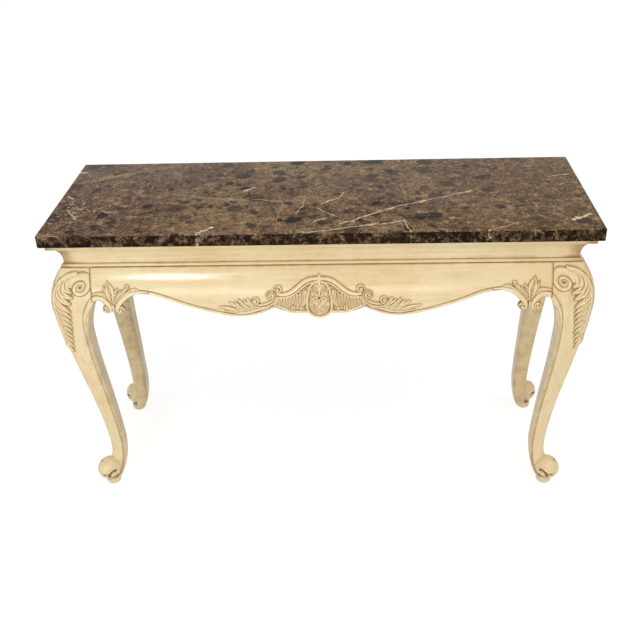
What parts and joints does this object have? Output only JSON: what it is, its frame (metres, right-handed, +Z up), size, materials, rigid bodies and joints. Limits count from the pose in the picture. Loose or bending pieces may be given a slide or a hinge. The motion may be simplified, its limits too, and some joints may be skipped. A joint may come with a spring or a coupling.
{
  "type": "pier table",
  "caption": "Console pier table with a loose polished stone top on a cream painted carved base: coved cornice, shaped apron with foliate carving and scroll-footed cabriole legs.",
  "frame": {"origin": "on the floor under the middle of the stone top", "axes": "+Z up, +X along the table to the right as seen from the front, -Y toward the front, +Y toward the wall"},
  "size_m": [1.372, 0.483, 0.822],
  "materials": {
    "marble": "polished brown stone with clasts and pale veins",
    "painted_wood": "satin cream paint with brown glaze in the recesses",
    "bare_wood": "planed, unfinished",
    "screw_steel": "zinc plated",
    "pad_rubber": "matt",
    "glide_plastic": "matt"
  },
  "bodies": {
    "base": {"apron_back": "painted_wood", "apron_cartouche": "painted_wood", "apron_front": "painted_wood", "apron_left": "painted_wood", "apron_right": "painted_wood", "apron_screws": "screw_steel", "bearer_left": "bare_wood", "bearer_right": "bare_wood", "corner_block_back_left": "bare_wood", "corner_block_back_right": "bare_wood", "corner_block_front_left": "bare_wood", "corner_block_front_right": "bare_wood", "cornice_back": "painted_wood", "cornice_front": "painted_wood", "cornice_left": "painted_wood", "cornice_right": "painted_wood", "cornice_screws": "screw_steel", "foot_glides": "glide_plastic", "leaf_scroll_left": "painted_wood", "leaf_scroll_right": "painted_wood", "leg_back_left": "painted_wood", "leg_back_right": "painted_wood", "leg_dowels": "bare_wood", "leg_front_left": "painted_wood", "leg_front_right": "painted_wood", "mitre_splines": "bare_wood", "slab_pads": "pad_rubber", "spray_left": "painted_wood", "spray_right": "painted_wood", "wing_left": "painted_wood", "wing_right": "painted_wood"},
    "top": {"marble_top": "marble"}
  },
  "joints": [
    {"name": "top_lift", "type": "slide", "parent": "base", "child": "top", "axis": [0, 0, 1], "range_m": [0, 0.08]}
  ]
}
